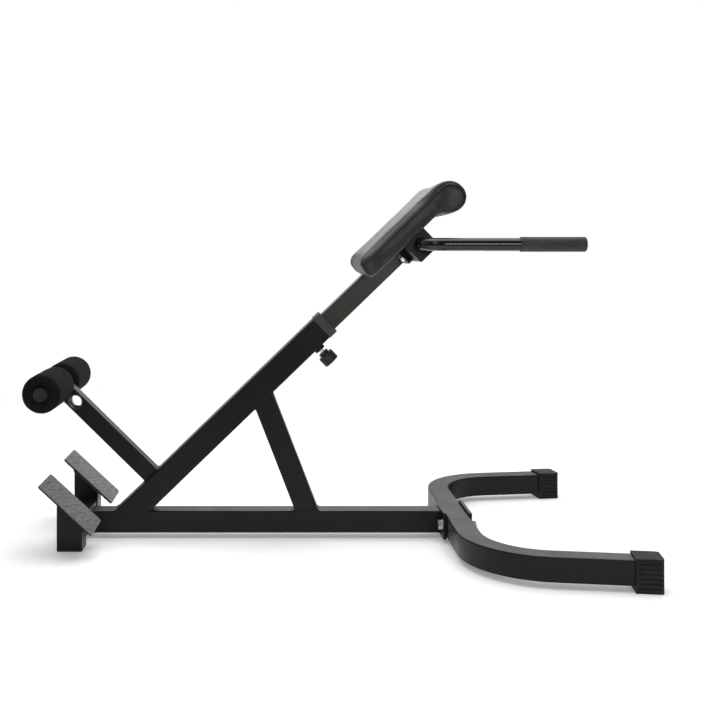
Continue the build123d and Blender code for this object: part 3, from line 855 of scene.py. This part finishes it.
def swell(mesh, pins):
    """Blow the cover up with a short cloth simulation, then keep each point near its start."""
    piece = bpy.data.objects.new("cushion_cover", mesh)
    bpy.context.scene.collection.objects.link(piece)
    starts = [v.co.copy() for v in mesh.vertices]
    group = piece.vertex_groups.new(name="pinned")
    group.add(pins, 1.0, "REPLACE")
    cloth = piece.modifiers.new("cloth", "CLOTH")
    cloth.settings.vertex_group_mass = "pinned"
    cloth.settings.use_pressure = True
    cloth.settings.uniform_pressure_force = PRESSURE
    cloth.settings.quality = CLOTH_QUALITY
    cloth.settings.mass = CLOTH_MASS
    cloth.settings.effector_weights.gravity = 0
    cloth.point_cache.frame_start = 1
    cloth.point_cache.frame_end = SWELL_FRAMES
    scene = bpy.context.scene
    for step in range(1, SWELL_FRAMES + 1):
        scene.frame_set(step)
    graph = bpy.context.evaluated_depsgraph_get()
    ends = [v.co.copy() for v in piece.evaluated_get(graph).data.vertices]
    scene.frame_set(1)
    bpy.data.objects.remove(piece)
    for vertex, start, end in zip(mesh.vertices, starts, ends):
        move = end - start
        if move.length > SWELL_CAP:
            move *= SWELL_CAP / move.length
        vertex.co = start + move
    fixed = set(pins)
    work = bmesh.new()
    work.from_mesh(mesh)
    relax(work, [v for v in work.verts if v.index not in fixed], 2)
    work.to_mesh(mesh)
    work.free()


def subdivided(mesh):
    """The mesh with one level of smooth subdivision."""
    piece = bpy.data.objects.new("cushion_rough", mesh)
    bpy.context.scene.collection.objects.link(piece)
    piece.modifiers.new("smooth", "SUBSURF").levels = 1
    graph = bpy.context.evaluated_depsgraph_get()
    fine = bpy.data.meshes.new_from_object(piece.evaluated_get(graph))
    bpy.data.objects.remove(piece)
    return fine


def side_outline(inset):
    """The side panel's outline in the sloping frame: up the low end, along the top, round the roll."""
    start, top, under = PAD["start"] + inset, PAD["top"] - inset, PAD["rim"] + inset
    edge = PAD_EDGE - inset
    points = [(start, under + edge)]
    points += [(start, under + edge + (top - under - 2 * edge) * k / 6) for k in range(1, 6)]
    for k in range(7):
        angle = math.pi - math.pi / 2 * k / 6
        points.append((start + edge + edge * math.cos(angle), top - edge + edge * math.sin(angle)))
    steps = 40
    points += [(start + edge + (ROLL_U - start - edge) * k / steps, top) for k in range(1, steps)]
    radius = ROLL - inset
    for k in range(steps + 1):
        angle = math.radians(90 - ROLL_WRAP_DEG * k / steps)
        points.append((ROLL_U + radius * math.cos(angle), ROLL_V + radius * math.sin(angle)))
    return points


def side_path(side, inset):
    """A path on the side panel, a little inside its outline."""
    return [SLOPE @ Vector((u, side * PAD["half"], v)) for u, v in side_outline(inset)]


def tuck(mesh, paths):
    """Pull the cover in along the seams."""
    points = [point for path in paths for point in even_points(path, SEAM_STEP, closed=False)]
    tree = KDTree(len(points))
    for index, point in enumerate(points):
        tree.insert(point, index)
    tree.balance()
    normals = [v.normal.copy() for v in mesh.vertices]
    for vertex, normal in zip(mesh.vertices, normals):
        near = tree.find(vertex.co)[2]
        vertex.co -= normal * TUCK * math.exp(-((near / TUCK_REACH) ** 2))


def snapped(tree, points, lift):
    """Points moved to the nearest place on a surface, lifted off it a little."""
    result = []
    for point in points:
        spot, normal, _, _ = tree.find_nearest(point)
        result.append(spot + normal * lift)
    return result


def stitch_rings(a, b, sides=6):
    """Rings of points round one stitch, from a to b."""
    along = (b - a).normalized()
    side = along.orthogonal().normalized()
    up = along.cross(side)
    rings = []
    turn = [2 * math.pi * j / sides for j in range(sides)]
    for t, scale in STITCH_PROFILE:
        spot = a.lerp(b, t)
        radius = STITCH_RADIUS * scale
        rings.append([spot + radius * (math.cos(w) * side + math.sin(w) * up) for w in turn])
    return rings


def add_stitches(name, points):
    """A row of sewn stitches along a path, as one mesh."""
    path = even_points(points, STITCH + STITCH_GAP, closed=False)
    verts, faces = [], []
    for a, b in zip(path, path[1:]):
        rings = stitch_rings(a, a.lerp(b, STITCH / (STITCH + STITCH_GAP)))
        base, count = len(verts), len(rings[0])
        verts += [p for ring in rings for p in ring]
        for i in range(len(rings) - 1):
            for j in range(count):
                k = (j + 1) % count
                here = base + i * count
                faces.append((here + j, here + k, here + count + k, here + count + j))
        faces.append(tuple(base + j for j in reversed(range(count))))
        faces.append(tuple(base + (len(rings) - 1) * count + j for j in range(count)))
    add_piece(name, mesh_of(name, verts, faces), "carriage", "pad_leather", "thread")


def add_pad():
    """The cushion with its side panels, and the piping and stitches of each side."""
    mesh = base_cushion()
    pins = soften(mesh)
    swell(mesh, pins)
    fine = subdivided(mesh)
    fine.transform(SLOPE)
    seams = {word: side_path(side, SEAM_INSET) for word, side in SIDES}
    tuck(fine, list(seams.values()))
    fine.shade_smooth()
    pad = add_piece("cushion", fine, "carriage", "pad_leather", replaces=("hip_pad",))
    fine.materials.append(MATERIALS["side_leather_shaded"])
    # side faces get the shaded copy of the leather, all others the lit copy with its painted sheen
    for face in fine.polygons:
        face.material_index = 1 if abs(face.normal.y) > SIDE_PANEL else 0

    work = bmesh.new()
    work.from_mesh(fine)
    tree = BVHTree.FromBMesh(work)
    for word, side in SIDES:
        path = even_points(snapped(tree, seams[word], PIPING_LIFT), PIPING_STEP, closed=False)
        mesh = rings_mesh("piping_" + word, along_path(path, False, 10, lambda i: PIPING))
        # the piping takes the shaded copy of the leather
        add_piece("piping_" + word, mesh, "carriage", "pad_leather", "side_leather_shaded")
        row = side_path(side, STITCH_INSET)
        add_stitches("stitches_" + word, snapped(tree, row, STITCH_LIFT))
    work.free()


# Studio


def add_floor():
    """A pale floor that fades out far from the chair."""
    work = bmesh.new()
    bmesh.ops.create_circle(work, cap_ends=True, segments=96, radius=FLOOR_RADIUS)
    mesh = bpy.data.meshes.new("floor")
    work.to_mesh(mesh)
    work.free()
    floor = bpy.data.objects.new("floor", mesh)
    floor.location.z = cad_box[0][2] - FLOOR_DROP
    bpy.context.scene.collection.objects.link(floor)
    shader = Shader("floor", Specular_IOR_Level=0.1, Roughness=0.75)
    shader.colour(shader.blend(shader.noise(3, 3), (0.93, 0.93, 0.93), (0.95, 0.95, 0.95)))
    distance = shader.node("ShaderNodeVectorMath", operation="LENGTH")
    shader.link(shader.place, distance.inputs[0])
    fade = shader.ramp(distance.outputs["Value"], *FLOOR_FADE, 1.0, 0.0)
    shader.link(fade, shader.surface.inputs["Alpha"])
    shader.surface.inputs["Emission Color"].default_value = (1, 1, 1, 1)
    shader.surface.inputs["Emission Strength"].default_value = FLOOR_GLOW
    mesh.materials.append(shader.material)


def add_world():
    """White behind the camera's view. For light, bright above and behind, dim in front."""
    world = bpy.data.worlds.new("studio")
    world.use_nodes = True
    bpy.context.scene.world = world
    tree = world.node_tree
    seen = tree.nodes["Background"]
    seen.inputs["Color"].default_value = (1, 1, 1, 1)
    lit = tree.nodes.new("ShaderNodeBackground")
    where = tree.nodes.new("ShaderNodeTexCoord")
    dot = tree.nodes.new("ShaderNodeVectorMath")
    dot.operation = "DOT_PRODUCT"
    dot.inputs[1].default_value = SKY_BRIGHT
    tree.links.new(where.outputs["Generated"], dot.inputs[0])
    ramp = tree.nodes.new("ShaderNodeMapRange")
    sockets = ("From Min", "From Max", "To Min", "To Max")
    for socket, value in zip(sockets, SKY_SPAN + SKY_STRENGTH):
        ramp.inputs[socket].default_value = value
    tree.links.new(dot.outputs["Value"], ramp.inputs["Value"])
    tree.links.new(ramp.outputs["Result"], lit.inputs["Strength"])
    mix = tree.nodes.new("ShaderNodeMixShader")
    path = tree.nodes.new("ShaderNodeLightPath")
    tree.links.new(path.outputs["Is Camera Ray"], mix.inputs["Fac"])
    tree.links.new(lit.outputs["Background"], mix.inputs[1])
    tree.links.new(seen.outputs["Background"], mix.inputs[2])
    tree.links.new(mix.outputs["Shader"], tree.nodes["World Output"].inputs["Surface"])


def add_light(name, place, aim, size, power):
    light = bpy.data.lights.new(name, "AREA")
    light.shape = "RECTANGLE"
    light.size, light.size_y = size
    light.energy = power
    lamp = bpy.data.objects.new(name, light)
    lamp.location = place
    direction = Vector(aim) - Vector(place)
    lamp.rotation_euler = direction.to_track_quat("-Z", "Y").to_euler()
    bpy.context.scene.collection.objects.link(lamp)


def add_camera():
    """The camera stands level with the hip pad and looks across the chair."""
    camera = bpy.data.objects.new("camera", bpy.data.cameras.new("camera"))
    camera.location = CAMERA_PLACE
    camera.rotation_euler = (math.radians(90), 0, 0)
    camera.data.sensor_width = 36
    camera.data.lens = CAMERA_LENS
    camera.data.shift_x, camera.data.shift_y = CAMERA_SHIFT
    bpy.context.scene.collection.objects.link(camera)
    bpy.context.scene.camera = camera


def add_studio():
    add_floor()
    add_world()
    for light in LIGHTS:
        add_light(*light)
    add_camera()
    bpy.context.scene.view_settings.view_transform = "Standard"


dress_cad_nodes()
add_welds()
add_treads()
add_foams()
add_pad()
add_studio()
